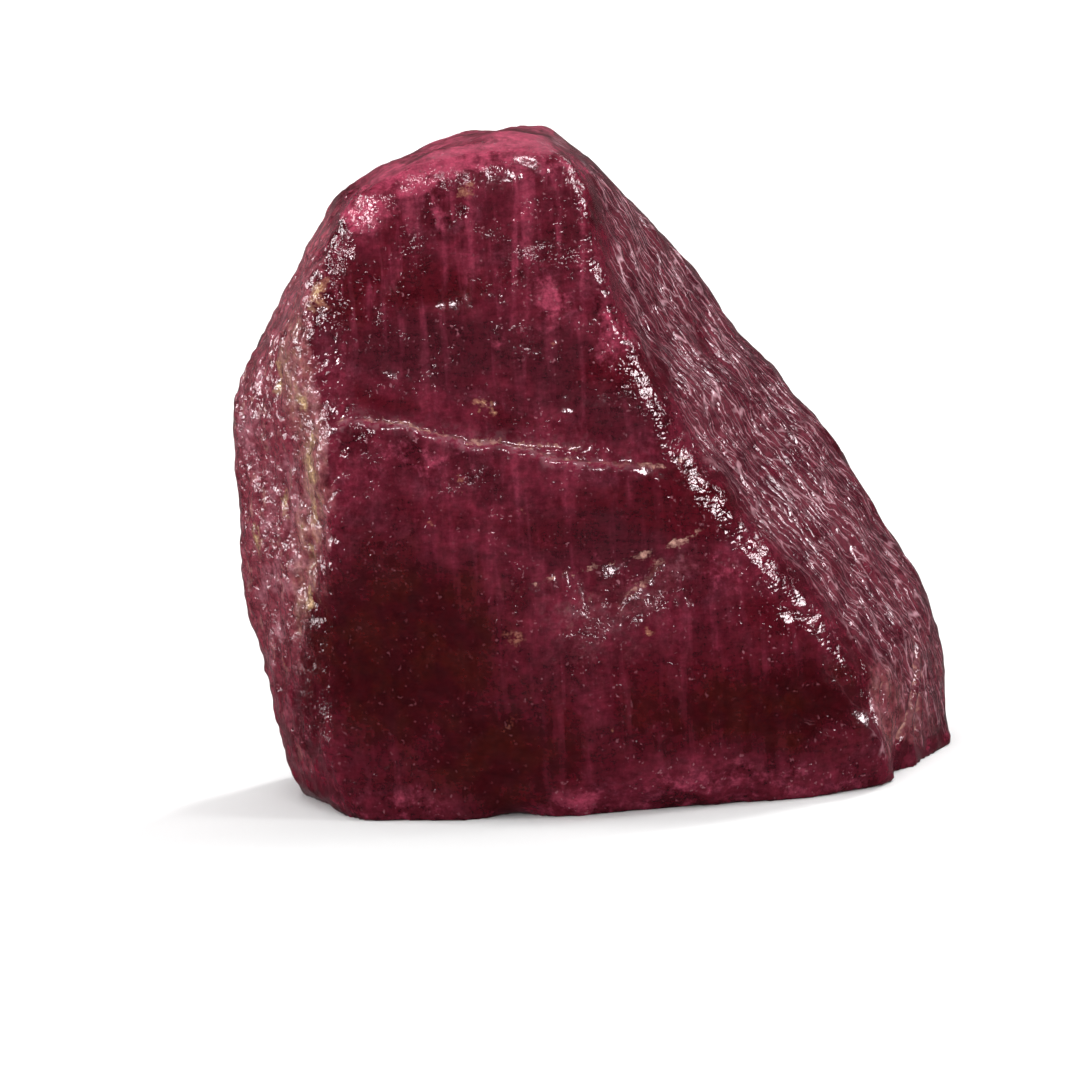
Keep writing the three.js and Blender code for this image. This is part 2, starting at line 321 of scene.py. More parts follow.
def geodesic_sphere(n):
    """Vertices on the unit sphere and triangles: an icosahedron with every face cut into n * n."""
    g = (1 + 5**0.5) / 2
    corners = unit(
        [(-1, g, 0), (1, g, 0), (-1, -g, 0), (1, -g, 0), (0, -1, g), (0, 1, g),
         (0, -1, -g), (0, 1, -g), (g, 0, -1), (g, 0, 1), (-g, 0, -1), (-g, 0, 1)]
    )
    faces = [(0, 11, 5), (0, 5, 1), (0, 1, 7), (0, 7, 10), (0, 10, 11), (1, 5, 9), (5, 11, 4), (11, 10, 2),
             (10, 7, 6), (7, 1, 8), (3, 9, 4), (3, 4, 2), (3, 2, 6), (3, 6, 8), (3, 8, 9), (4, 9, 5),
             (2, 4, 11), (6, 2, 10), (8, 6, 7), (9, 8, 1)]
    rows = [(i, j) for i in range(n + 1) for j in range(n + 1 - i)]
    number = {ij: k for k, ij in enumerate(rows)}
    ij = np.array(rows, float)
    patch = []
    for i in range(n):
        for j in range(n - i):
            patch.append((number[i, j], number[i + 1, j], number[i, j + 1]))
            if i + j < n - 1:
                patch.append((number[i + 1, j], number[i + 1, j + 1], number[i, j + 1]))
    patch = np.array(patch)
    points, triangles = [], []
    for k, (a, b, c) in enumerate(faces):
        a, b, c = corners[a], corners[b], corners[c]
        points.append(a + ij[:, :1] / n * (b - a) + ij[:, 1:] / n * (c - a))
        triangles.append(patch + k * len(rows))
    points = unit(np.concatenate(points))
    _, first, inverse = np.unique(np.round(points, 6), axis=0, return_index=True, return_inverse=True)
    return points[first], inverse.ravel()[np.concatenate(triangles)]


def vertex_normals(points, triangles):
    a, b, c = (points[triangles[:, i]] for i in range(3))
    face = np.cross(b - a, c - a)
    total = np.zeros_like(points)
    for i in range(3):
        for axis in range(3):
            total[:, axis] += np.bincount(triangles[:, i], face[:, axis], len(points))
    return unit(total)


class Smoother:
    """Averages anything given per vertex with its neighbours."""

    def __init__(self, triangles, count):
        edges = np.concatenate([triangles[:, [0, 1]], triangles[:, [1, 2]], triangles[:, [2, 0]]])
        self.a, self.b = edges.T
        self.count = count
        self.degree = np.bincount(self.a, minlength=count).astype(float)

    def step(self, values, share):
        values = values.reshape(self.count, -1)
        out = np.empty_like(values)
        for i in range(values.shape[1]):
            near = np.bincount(self.a, values[self.b, i], self.count) / self.degree
            out[:, i] = values[:, i] + share * (near - values[:, i])
        return out

    def smooth(self, values, times):
        for _ in range(times):
            values = self.step(values, 0.6)
        return values

    def smooth_shape(self, points, times):
        """Smooths without shrinking."""
        for _ in range(times):
            points = self.step(self.step(points, 0.6), -0.62)
        return points


def lay_on_cad():
    """The sphere's vertices laid on the CAD solid, in mm, with its triangles."""
    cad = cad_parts[CAD_NODE].data
    corners = [v.co / MM for v in cad.vertices]
    tree = BVHTree.FromPolygons(corners, [tuple(p.vertices) for p in cad.polygons])
    sphere, triangles = geodesic_sphere(MESH_DIVISIONS)
    core = Vector(CORE)
    points = np.empty_like(sphere)
    for i, way in enumerate(unit(sphere * np.array(SPREAD))):
        points[i] = tree.ray_cast(core, Vector(way))[0]
    return points, triangles


# ---- Relief -----------------------------------------------------------------------------------


def groove_height(p):
    """Long wavy grooves with sharp crests: 1 on a crest, 0 in a valley."""
    across = p @ unit(GROOVE_ACROSS)
    along = p @ unit(GROOVE_ALONG)
    off = p @ unit(RIGHT_FACE)
    sway = 0.55 * noise(np.stack([across / 3.0, along / 2.4, off / 3.0], 1), 31)
    coarse = noise(np.stack([(across + sway) / 1.15, along / 4.2, off / 4.0], 1), 32)
    fine = noise(np.stack([(across + 0.7 * sway) / 0.7, along / 2.3, off / 3.0], 1), 33)

    def ridged(v):
        return np.clip(1.0 - np.abs(v) * 2.1, 0.0, 1.0) ** 1.6

    return 0.62 * ridged(coarse) + 0.38 * ridged(fine)


def patches(p, rows, edge=(1.6, 0.2)):
    """How much each point lies in any of the front's patches."""
    total = np.zeros(len(p))
    for x, z, wide, high, tilt, strength in rows:
        c, s = math.cos(math.radians(tilt)), math.sin(math.radians(tilt))
        dx, dz = p[:, 0] - x, p[:, 2] - z
        d = np.hypot((c * dx + s * dz) / wide, (c * dz - s * dx) / high)
        total = np.maximum(total, strength * smoothstep(d, *edge))
    return total * smoothstep(p[:, 1], 0.0, -3.0)


def warp(p, size, by, seed):
    """The points moved a little, so that what is measured from them has uneven limits."""
    return p + by * np.stack([noise(p / size, seed + i) for i in range(3)], 1)


def frayed(normals, p, by, seed, size, fine_size, fine_share):
    """The normals turned a little this way and that, so that no face's limit is a straight line."""
    wander = [noise(p / size, seed + i) + fine_share * noise(p / fine_size, seed + 3 + i) for i in range(3)]
    return normals + by * np.stack(wander, 1)


def worn(p, smoother):
    """The shape with the tip, most of the long ridge, the shining parts of the left ridge and the hollow
    worn smooth."""
    shining = 0.12 + 0.88 * patches(p, LEFT_GLINTS, (2.2, 0.6))
    in_hollow = np.linalg.norm((p[:, ::2] - HOLLOW) / HOLLOW_SIZE, axis=1)
    wear = np.maximum.reduce([
        smoothstep(from_line(p, LONG_RIDGE), 2.6, 1.2) * smoothstep(p[:, 2], 28.0, 25.0),
        smoothstep(from_line(p, LEFT_RIDGE), 2.5, 1.0) * shining,
        smoothstep(np.linalg.norm(p - TIP, axis=1), 4.5, 2.0),
        smoothstep(in_hollow, 1.0, 0.6) * (p[:, 1] < 0.0),
    ])[:, None]
    for _ in range(WEAR):
        p = p + wear * (smoother.step(p, 0.6) - p)
    return p


def find_regions(p, broad):
    """Where every face, ridge and patch is, each from 0 to 1. broad: the stone's smoothed normals."""
    frayed_right = frayed(broad, p, by=0.16, seed=70, size=2.6, fine_size=0.9, fine_share=0.6)
    right = looks(frayed_right, 0.80, 0.97, RIGHT_FACE)
    right = np.maximum(right, looks(frayed_right, 0.84, 0.98, RIGHT_TIP))
    corner = looks(broad, 0.93, 0.98, RIGHT_CORNER) * smoothstep(p[:, 2], 8.5, 6.0)
    right = np.maximum(right, corner * 0.65)

    # The rough skin of the left side stops at the left ridge and thins out low down.
    frayed_left = frayed(broad, p, by=0.10, seed=40, size=1.8, fine_size=0.7, fine_share=0.5)
    skin = looks(frayed_left, 0.80, 0.98, *LEFT_FACES)
    ridge_x = np.interp(p[:, 2], [q[2] for q in LEFT_RIDGE[::-1]], [q[0] for q in LEFT_RIDGE[::-1]])
    skin *= smoothstep(ridge_x - p[:, 0] + 0.9 * noise(p / 1.4, 43), -0.5, 1.1)
    skin *= 0.5 + 0.5 * smoothstep(p[:, 2] + 2.0 * noise(p / 2.5, 44), 5.5, 12.0)

    # The grooves of the right side fade out at the long ridge.
    from_long_ridge = from_line(p, LONG_RIDGE)
    grooved = right * smoothstep(from_long_ridge, 1.2, 3.0)
    from_left_ridge = from_line(p, LEFT_RIDGE)
    near_tip = smoothstep(p[:, 2], 22.0, 33.0)
    soft = warp(warp(p, 3.2, 0.7, 23), 1.1, 0.45, 26)
    return SimpleNamespace(
        front=looks(broad, 0.9, 0.97, *FRONT_FACES),
        left=looks(broad, 0.84, 0.95, *LEFT_FACES),
        back=smoothstep(broad[:, 1], 0.1, 0.5),
        top=smoothstep(broad[:, 2], 0.3, 0.7) * near_tip * (1.0 - 0.8 * grooved),
        flat_top=smoothstep(broad[:, 2], 0.72, 0.9) * near_tip,
        corner=corner,
        left_skin=skin,
        grooved=grooved,
        on_ridge=smoothstep(from_long_ridge + 0.5 * noise(p / 1.5, 13), 1.5, 0.3),
        on_left_ridge=smoothstep(from_left_ridge + 0.5 * noise(p / 1.5, 14), 1.6, 0.3),
        glinting=patches(warp(p, 1.2, 0.7, 50), GLINT_PATCHES),
        calm=1.0 - patches(soft, CALM_PATCHES),
        clear=patches(soft, CLEAR_PATCHES),
        pink=patches(soft, PINK_PATCHES),
        crimson=patches(soft, CRIMSON_PATCHES),
        dusk=patches(soft, DUSK_PATCHES),
        slope=patches(soft, SLOPE_PATCHES),
    )


def find_cracks(p):
    """Every point's distance from each crack, in mm, unsteady so that no crack is a smooth line."""
    wander = 0.16 * noise(p / 0.9, 9)
    return SimpleNamespace(
        main=np.minimum(from_drawn_lines(p, CRACK), from_drawn_lines(p, CRACK_BRANCH) + 0.05) + wander,
        above_main=p[:, 2] > height_of_line(p[:, 0], CRACK),
        ledge=from_drawn_lines(p, LEDGE) + 2.0 * wander + 0.06 * noise(p / 0.35, 78),
        under_ledge=from_drawn_lines(p, LEDGE_CRACK) + 0.5 * wander,
        corner=from_drawn_lines(p, *CORNER_CRACKS) + 1.2 * wander,
        back=from_drawn_lines(p, *BACK_CRACKS) + 1.5 * wander,
    )


def face_relief(p, at):
    """How far the faces and ridges rise, in mm."""
    rise = 0.10 * at.grooved * (groove_height(p) - 0.35)

    # Unevenness at several sizes, calmer on the clear lower left face.
    rise += 0.17 * noise(p / 2.6, 1) * at.calm
    rise += 0.10 * noise(p / 1.25, 2) * at.calm * (1.0 - 0.5 * at.grooved)
    pimple = np.maximum(0.0, noise(p / 0.75, 3)) * at.calm * (1.0 - 0.7 * at.grooved)
    rise += (0.05 + 0.10 * at.left + 0.05 * at.glinting) * pimple
    rise += 0.03 * (at.left + at.glinting) * noise(p / 0.55, 5)

    # Small flat chips, as broken corundum has.
    first, second, who, _ = cells(p / np.array([1.6, 1.6, 2.2]), 11)
    chip = (who % np.uint64(97)).astype(float) / 97.0 - 0.5
    chipped = (0.4 + 0.6 * np.maximum(at.left, at.back)) * (1.0 - at.grooved) * at.calm
    rise += 0.10 * chip * smoothstep(second - first, 0.0, 0.25) * chipped

    # Larger breaks on the back, each tilted its own way.
    big = warp(p, 2.0, 0.4, 75) / np.array([3.4, 3.4, 4.6])
    first, second, who, where = cells(big, 16)
    tilted = np.einsum("ij,ij->i", GRADIENTS[(who % np.uint64(4096)).astype(int)], big - where)
    rise += 0.60 * tilted * smoothstep(second - first, 0.0, 0.12) * at.back * (1.0 - at.grooved)

    # Growth lines run up and down the front.
    lines = noise(np.stack([p[:, 0] / 0.6, p[:, 1] / 3.0, p[:, 2] / 14.0], 1), 4)
    rise += 0.05 * lines * at.front * at.calm

    # The long ridge is crumpled, the left one is knobbly, the lower right corner is lumpy.
    rise += at.on_ridge * (0.04 * noise(p / 0.55, 6) + 0.07 * noise(p / 1.3, 7))
    rise += at.on_left_ridge * 0.08 * noise(p / 1.1, 8)
    rise += at.corner * 0.16 * noise(p / np.array([0.9, 0.9, 2.4]), 12)
    return rise


def dent(distance, radius):
    """1 in the middle, fading to nothing well outside the radius."""
    return np.exp(-((distance / radius) ** 2))


def crack_relief(p, at, cracks):
    """How far the cracks, the ledge and the pits rise or, mostly, sink, in mm."""
    # The crack is a narrow groove over a lip.
    fading = smoothstep(p[:, 0], 3.0, -0.5)
    rise = np.where(cracks.above_main, -0.24, -0.05) * dent(cracks.main, 0.32) * fading
    lip_height = np.where(cracks.above_main, 0.0, 0.09 + 0.09 * noise(p / 0.8, 79))
    rise += lip_height * dent(cracks.main - 0.45, 0.35) * smoothstep(p[:, 0], 2.0, -2.0)

    # The ledge under the hollow, and its own small crack.
    below = height_of_line(p[:, 0], LEDGE) + 0.35 * noise(p / 1.3, 10) - p[:, 2]
    at_ledge = at.front * smoothstep(p[:, 0], -5.2, -3.6) * smoothstep(p[:, 0], 7.0, 4.5)
    rise += 0.14 * at_ledge * smoothstep(below, -0.3, 0.6) * np.exp(-np.maximum(below, 0) / 1.6)
    rise -= 0.18 * dent(cracks.under_ledge, 0.25)

    rise += 0.06 * dent(cracks.corner - 0.5, 0.3) - 0.22 * dent(cracks.corner, 0.22)
    rise -= 0.26 * dent(cracks.back, 0.25)
    for x, y, z, radius, depth in PITS:
        rise -= depth * dent(np.linalg.norm(p - (x, y, z), axis=1), radius / 1.5**0.5)
    return rise


def find_stains(p):
    """How strongly each point is stained. The left side's stains are drawn out upright."""
    total = np.zeros(len(p))
    ragged = warp(warp(p, 1.5, 0.5, 17), 0.6, 0.28, 20)
    for x, y, z, radius, strength in STAINS:
        upright = 0.55 if x < LEFT_OF_FRONT else 1.0
        d = np.linalg.norm((ragged - (x, y, z)) * (1.0, 1.0, upright), axis=1) / radius
        total = np.maximum(total, strength * smoothstep(d, 1.7, 0.2))
    return total


def material_fields(p, at, cracks):
    """What the material reads, one number a vertex: see FIELDS."""
    thin = warp(p, 2.0, 0.12, 60)
    # Painted glow: the bottom edge a little pinker, where its thin rim lets light through.
    foot_glow = smoothstep(p[:, 2], 1.5, 0.3)
    high_up = smoothstep(p[:, 2], 8.0, 13.0)
    on_left = np.maximum(at.on_left_ridge * (0.6 + 0.3 * high_up), 0.9 * at.left * (0.45 + 0.55 * high_up))
    crumple = [at.on_ridge, on_left, 0.75 * at.glinting, 0.5 * at.back, 0.9 * at.corner]
    knobs = 0.9 * at.left * (0.5 + 0.5 * high_up) + 0.4 * at.back + 0.5 * at.on_ridge + 0.8 * at.corner
    # Painted glow: the upward faces near the tip pinker, as the thin top lit from behind shows.
    top_glow = at.top * (0.45 + 0.45 * noise(p / 2.8, 80))
    dull_back = at.back * smoothstep(noise(p / 5.0, 29), 0.0, 0.5)
    clear_back = at.back * smoothstep(noise(p / 4.5, 28), -0.1, 0.5)
    threads = [
        cracks.main + 0.12 * smoothstep(p[:, 0], 2.0, 4.5), cracks.under_ledge, cracks.ledge + 0.09,
        cracks.corner - 0.05, cracks.back + 0.03,
    ]
    # The halo is strongest on the lip below the main crack: painted highlight there, over the crack's own
    # paler rim.
    lip = at.front * np.where(cracks.above_main, 0.3, 1.0) * smoothstep(p[:, 0], 5.0, 0.0)
    near_crack = np.minimum(cracks.main, cracks.corner + 0.3) + 0.35 * noise(p / 0.6, 76)
    bark = smoothstep(from_line(warp(p, 1.2, 0.5, 77), BARK_LINE), 2.7, 0.4)
    return {
        "stain": find_stains(p),
        "pink": np.maximum.reduce([at.pink, top_glow, 0.3 * foot_glow]),
        "streak": patches(thin, PINK_STREAKS, (1.8, 0.2)) - patches(thin, DARK_STREAKS, (1.6, 0.2)),
        "clear": np.maximum(at.clear, 0.6 * clear_back),
        "crimson": at.crimson,
        "dusk": np.maximum(at.dusk, 0.8 * dull_back),
        "skin": np.maximum.reduce([at.left_skin, at.slope, at.corner, 0.5 * at.back]),
        "matte": at.slope,
        "grooved": at.grooved,
        "front": at.front,
        "high": smoothstep(p[:, 2], 22.0, 31.0),
        "dry": np.maximum(at.flat_top, 0.07 * at.on_left_ridge * (1.0 - high_up)),
        "bark": bark + 0.3 * at.corner,
        "knobs": np.clip(knobs, 0.0, 1.0),
        "crumple": np.clip(np.maximum.reduce(crumple), 0.0, 1.0),
        "crack": np.minimum.reduce(threads),
        "halo": smoothstep(near_crack, 0.8, 0.1) * np.maximum(lip, 0.5 * at.corner),
    }


def build_stone():
    """The stone's points in mm, its triangles and what the material reads."""
    p, triangles = lay_on_cad()
    flat = p[:, 2] < 0.02
    smoother = Smoother(triangles, len(p))
    p = worn(smoother.smooth_shape(p, 7), smoother)
    normals = unit(smoother.smooth(vertex_normals(p, triangles), 6))
    at = find_regions(p, unit(smoother.smooth(normals, 40)))
    cracks = find_cracks(p)
    rise = face_relief(p, at) + crack_relief(p, at, cracks)

    # Nothing below the flat underside, and the underside itself stays flat.
    points = p + np.where(flat, 0.0, rise)[:, None] * normals
    points[flat, 2] = 0.0
    points[:, 2] = np.maximum(points[:, 2], 0.0)
    return points, triangles, material_fields(p, at, cracks)


def make_stone():
    points, triangles, fields = build_stone()
    mesh = bpy.data.meshes.new(STONE)
    mesh.from_pydata((points * MM).tolist(), [], triangles.tolist())
    mesh.validate()
    for name in FIELDS:
        values = fields[name].astype(np.float32)
        mesh.attributes.new(name, "FLOAT", "POINT").data.foreach_set("value", values)
    mesh.polygons.foreach_set("use_smooth", [True] * len(mesh.polygons))
    stone = bpy.data.objects.new(STONE, mesh)
    bpy.context.scene.collection.objects.link(stone)
    return stone


# ---- Material ---------------------------------------------------------------------------------


class Graph:
    """Short names for the shader nodes used below. Every method returns an output socket."""

    def __init__(self, name):
        self.material = bpy.data.materials.new(name)
        self.material.use_nodes = True
        self.tree = self.material.node_tree
        self.tree.nodes.clear()

    def node(self, kind, inputs=None, **settings):
        made = self.tree.nodes.new(kind)
        for key, value in settings.items():
            setattr(made, key, value)
        for key, value in (inputs or {}).items():
            socket = made.inputs[key]
            if isinstance(value, bpy.types.NodeSocket):
                self.tree.links.new(value, socket)
            else:
                socket.default_value = value
        return made

    def math(self, operation, a, b=0.0):
        return self.node("ShaderNodeMath", {0: a, 1: b}, operation=operation).outputs[0]

    def swing(self, value, by):
        """A value from 0 to 1 turned into one that swings around zero."""
        return self.times(self.math("SUBTRACT", value, 0.5), by)

    def times(self, *values):
        total = values[0]
        for value in values[1:]:
            total = self.math("MULTIPLY", total, value)
        return total

    def plus(self, *values):
        total = values[0]
        for value in values[1:]:
            total = self.math("ADD", total, value)
        return total

    def step(self, value, low, high, to_low=0.0, to_high=1.0):
        made = self.node(
            "ShaderNodeMapRange",
            {"Value": value, "From Min": low, "From Max": high, "To Min": to_low, "To Max": to_high},
            interpolation_type="SMOOTHSTEP",
        )
        return made.outputs[0]

    def field(self, name):
        return self.node("ShaderNodeAttribute", attribute_name=name).outputs["Fac"]

    def vector(self, operation, a, b):
        made = self.node("ShaderNodeVectorMath", {0: a, 1: b}, operation=operation)
        return made.outputs["Value" if operation == "DOT_PRODUCT" else "Vector"]

    def noise(self, place, size, detail=2.0, roughness=0.5, out="Fac"):
        made = self.node(
            "ShaderNodeTexNoise",
            {"Vector": place, "Scale": 1.0 / size, "Detail": detail, "Roughness": roughness},
        )
        return made.outputs[out]

    def mix(self, share, a, b, kind="MIX"):
        made = self.node("ShaderNodeMix", data_type="RGBA", blend_type=kind)
        for key, value in ((0, share), (6, a), (7, b)):
            if isinstance(value, bpy.types.NodeSocket):
                self.tree.links.new(value, made.inputs[key])
            elif key == 0:
                made.inputs[key].default_value = value
            else:
                made.inputs[key].default_value = (*value, 1.0)
        return made.outputs[2]


WINE = (0.060, 0.0048, 0.0100)
RASPBERRY = (0.124, 0.0120, 0.0252)
PLUM = (0.098, 0.0142, 0.0262)
PINK = (0.345, 0.0440, 0.0880)
DUSK = (0.052, 0.0062, 0.0112)
CLEAR_DARK = (0.030, 0.0016, 0.0026)
CLEAR_BROWN = (0.038, 0.0038, 0.0026)
CRIMSON = (0.064, 0.0030, 0.0070)
SKIN = (0.175, 0.0350, 0.0490)
MAUVE = (0.320, 0.1220, 0.1520)
LIT_ROSE = (0.440, 0.1100, 0.1450)
BARK = (0.390, 0.2150, 0.1850)
FURROW_DARK = (0.070, 0.0110, 0.0190)
FURROW = (0.140, 0.0290, 0.0430)
CREST_HIGHLIGHT = (0.760, 0.4500, 0.5100)
STAIN_EDGE = (0.330, 0.1250, 0.0850)
BEIGE = (0.560, 0.3500, 0.1900)
OLIVE = (0.290, 0.1850, 0.1000)
THREAD = (0.600, 0.3300, 0.2650)

RUBY_IOR = 1.76
SPECULAR_LEVEL = 0.45
SPECULAR_TINT = (1.0, 0.85, 0.90, 1.0)


def ruby_material():
    """Sizes in it are in mm, and colours are painted one over another from the mesh's fields."""
    g = Graph("ruby")
    place = g.vector("MULTIPLY", g.node("ShaderNodeTexCoord").outputs["Object"], (1.0 / MM,) * 3)
    upright = g.vector("MULTIPLY", place, (1.0, 0.6, 0.06))
    level = g.vector("MULTIPLY", place, (2.0, 2.0, 6.0))
    field = {name: g.field(name) for name in FIELDS}

    # The right side's thin crests: the edges of long narrow cells, in two sizes, raised in the relief and
    # painted pale as a highlight.
    bend = g.vector("SUBTRACT", g.noise(place, 2.2, 2.0, 0.5, "Color"), (0.5, 0.5, 0.5))
    kink = g.vector("SUBTRACT", g.noise(place, 0.6, 2.0, 0.5, "Color"), (0.5, 0.5, 0.5))
    bent = g.vector("ADD", place, g.vector("MULTIPLY", bend, (1.1, 1.1, 1.1)))
    bent = g.vector("ADD", bent, g.vector("MULTIPLY", kink, (0.5, 0.5, 0.5)))
    across, along = Vector(unit(GROOVE_ACROSS)), Vector(unit(GROOVE_ALONG))

    def from_crest(width, length, turn):
        c, s = math.cos(math.radians(turn)), math.sin(math.radians(turn))
        run = g.node("ShaderNodeCombineXYZ", {
            0: g.math("DIVIDE", g.vector("DOT_PRODUCT", bent, tuple(c * across + s * along)), width),
            1: g.math("DIVIDE", g.vector("DOT_PRODUCT", bent, tuple(c * along - s * across)), length),
        }).outputs[0]
        return g.node("ShaderNodeTexVoronoi", {"Vector": run, "Scale": 1.0}, voronoi_dimensions="2D",
                      feature="DISTANCE_TO_EDGE").outputs["Distance"]

    sparse = g.noise(place, 2.6, 2.0)
    unbroken = g.step(g.noise(place, 0.9, 3.0), 0.34, 0.56, 0.25, 1.0)
    unbroken = g.times(unbroken, g.step(sparse, 0.36, 0.58, 0.45, 1.0))
    wide, narrow = from_crest(0.95, 6.0, -2.0), from_crest(0.55, 3.4, -11.0)
    ridge = g.math("MAXIMUM", g.step(wide, 0.16, 0.0), g.step(narrow, 0.20, 0.0, 0.0, 0.7))
    net = g.times(ridge, unbroken, field["grooved"])
    crests = g.math("MAXIMUM", g.step(wide, 0.045, 0.005), g.step(narrow, 0.055, 0.005, 0.0, 0.7))
    crests = g.times(crests, unbroken, field["grooved"])

    # Body colour: clouds of wine, raspberry and plum, then the stone's own patches.
    cloud = g.noise(place, 3.0, 4.0, 0.6)
    blot = g.noise(place, 1.2, 4.0, 0.65)
    bands = g.noise(upright, 0.8, 3.0, 0.55)
    fleck = g.noise(place, 0.40, 3.0, 0.6)
    loose = g.plus(g.swing(blot, 0.9), g.swing(fleck, 0.6))

    def share(name, low=0.2, high=0.9, most=1.0, unrest=1.0):
        return g.step(g.plus(field[name], g.times(loose, unrest)), low, high, 0.0, most)

    colour = g.mix(g.step(cloud, 0.38, 0.62), WINE, RASPBERRY)
    colour = g.mix(g.step(blot, 0.48, 0.66, 0.0, 0.8), colour, PLUM)
    colour = g.mix(share("dusk", most=0.95), colour, DUSK)
    colour = g.mix(share("crimson", most=0.9), colour, CRIMSON)
    colour = g.mix(share("pink", 0.2, 1.0, 0.92, 1.8), colour, PINK)
    clear = g.mix(g.step(g.noise(place, 1.9, 2.0), 0.42, 0.62), CLEAR_DARK, CLEAR_BROWN)
    colour = g.mix(share("clear", 0.1, 0.9, 0.92, 0.7), colour, clear)
    banded = g.times(field["front"], g.step(field["high"], 0.0, 1.0, 0.30, 0.8))
    banded = g.times(banded, g.step(field["clear"], 1.0, 0.4))
    colour = g.mix(g.times(g.step(bands, 0.50, 0.68), banded, 0.45), colour, PINK)
    colour = g.mix(g.times(g.step(bands, 0.48, 0.34), banded, 0.65), colour, WINE)
    broken = g.step(g.noise(upright, 0.5, 3.0), 0.38, 0.60, 0.25, 1.0)
    colour = g.mix(g.times(g.step(field["streak"], 0.05, 0.9, 0.0, 0.5), broken), colour, PINK)
    colour = g.mix(g.times(g.step(field["streak"], -0.05, -0.9, 0.0, 0.8), broken), colour, WINE)

    # Rough skin on the left, on the slope under the ledge and at the corner.
    skin = g.times(share("skin", 0.25, 0.9), g.step(g.noise(place, 0.7, 4.0, 0.65), 0.35, 0.60, 0.45, 1.0))
    skin_colour = g.mix(g.step(g.noise(place, 1.5, 4.0, 0.6), 0.46, 0.68, 0.0, 0.9), SKIN, MAUVE)
    veins = g.noise(g.vector("MULTIPLY", place, (1.0, 0.6, 0.45)), 0.7, 4.0, 0.65)
    skin_colour = g.mix(g.step(veins, 0.57, 0.69, 0.0, 0.55), skin_colour, BARK)
    fibres = g.step(veins, 0.38, 0.66, 0.15, 0.8)
    # Painted light: the skin turns lighter rose towards the tip, where the upper left side is brighter and
    # its rim glows.
    skin_colour = g.mix(g.times(field["high"], 0.5), skin_colour, LIT_ROSE)
    bark = g.mix(g.step(fleck, 0.36, 0.54), OLIVE, BARK)
    skin_colour = g.mix(g.times(field["bark"], fibres), skin_colour, bark)
    colour = g.mix(g.times(skin, g.step(field["matte"], 0.0, 1.0, 0.85, 0.24)), colour, skin_colour)

    # Groove crests over darker furrows: the crests' pale colour is painted highlight, partly their own
    # paleness, brighter towards the tip.
    furrow = g.mix(g.step(g.plus(g.noise(bent, 0.9, 4.0, 0.65), sparse), 0.82, 1.16), FURROW_DARK, FURROW)
    colour = g.mix(g.times(field["grooved"], 0.88), colour, furrow)
    colour = g.mix(g.times(crests, g.step(field["high"], 0.0, 1.0, 0.55, 0.85)), colour, CREST_HIGHLIGHT)

    # Mottling, stains, cracks and grain, and shade painted into the lumps' hollows.
    deep = g.vector("MULTIPLY", place, (1.0, 0.45, 1.0))  # the left side's lumps are longest front to back
    lumps = g.noise(deep, 0.50, 2.0, 0.55)
    knobs = g.noise(deep, 1.0, 2.0, 0.5)
    dashes = g.noise(level, 1.0, 2.0, 0.5)
    grain = g.plus(g.times(dashes, 0.35), g.times(g.noise(place, 0.15, 3.0, 0.6), 0.65))
    mottle = g.noise(place, 0.45, 4.0, 0.65)
    rows = g.noise(g.vector("MULTIPLY", place, (0.9, 0.9, 3.6)), 1.0, 3.0, 0.6)
    shade = g.times(g.step(grain, 0.38, 0.62, 0.89, 1.13), g.step(mottle, 0.34, 0.66, 0.80, 1.25),
                    g.step(rows, 0.38, 0.62, 0.92, 1.09))
    grey = g.node("ShaderNodeCombineXYZ", {0: shade, 1: shade, 2: shade}).outputs[0]
    colour = g.mix(1.0, colour, grey, "MULTIPLY")
    # Painted shade: the low parts of the lumps darker and their tops a little lighter, where the surface is
    # crumpled.
    hollow = g.mix(g.step(lumps, 0.30, 0.52), (0.66, 0.54, 0.57), (1.10, 1.10, 1.10))
    colour = g.mix(1.0, colour, g.mix(field["crumple"], (1.0, 1.0, 1.0), hollow), "MULTIPLY")
    sparkle = g.step(g.noise(place, 2.2, 3.0), 0.42, 0.60, 0.1, 1.0)
    sparkle = g.times(sparkle, g.step(field["clear"], 0.2, 0.9, 1.0, 0.3))
    dots = g.times(g.step(g.noise(place, 0.24, 1.0), 0.66, 0.76), sparkle, 0.7)
    colour = g.mix(dots, colour, MAUVE)

    stain = g.plus(field["stain"], g.swing(fleck, 1.8), g.swing(grain, 2.0))
    stain_edge = g.mix(field["knobs"], STAIN_EDGE, OLIVE)
    outer = g.times(g.step(stain, 0.20, 0.75, 0.0, 0.7), g.step(field["stain"], 0.05, 0.3))
    inner = g.times(g.step(stain, 0.75, 1.05, 0.0, 0.9), g.step(field["stain"], 0.2, 0.6))
    colour = g.mix(inner, g.mix(outer, colour, stain_edge), BEIGE)
    wobble = g.swing(g.noise(place, 0.40, 4.0, 0.65), 0.7)
    thread = g.step(g.plus(field["crack"], wobble, g.swing(grain, 0.9)), 0.19, 0.02)
    thread = g.times(thread, g.step(g.noise(place, 0.30, 3.0, 0.6), 0.36, 0.58, 0.25, 1.0))
    halo = g.times(field["halo"], g.step(g.noise(place, 0.40, 4.0, 0.65), 0.34, 0.56, 0.2, 0.7))
    # The halo: the cracks' own paler rim, and painted highlight on the lip below the main crack.
    colour = g.mix(halo, colour, g.mix(g.step(fleck, 0.44, 0.60), PINK, MAUVE))
    colour = g.mix(g.times(thread, g.step(g.noise(place, 0.9, 3.0), 0.38, 0.60, 0.12, 0.9)), colour, THREAD)

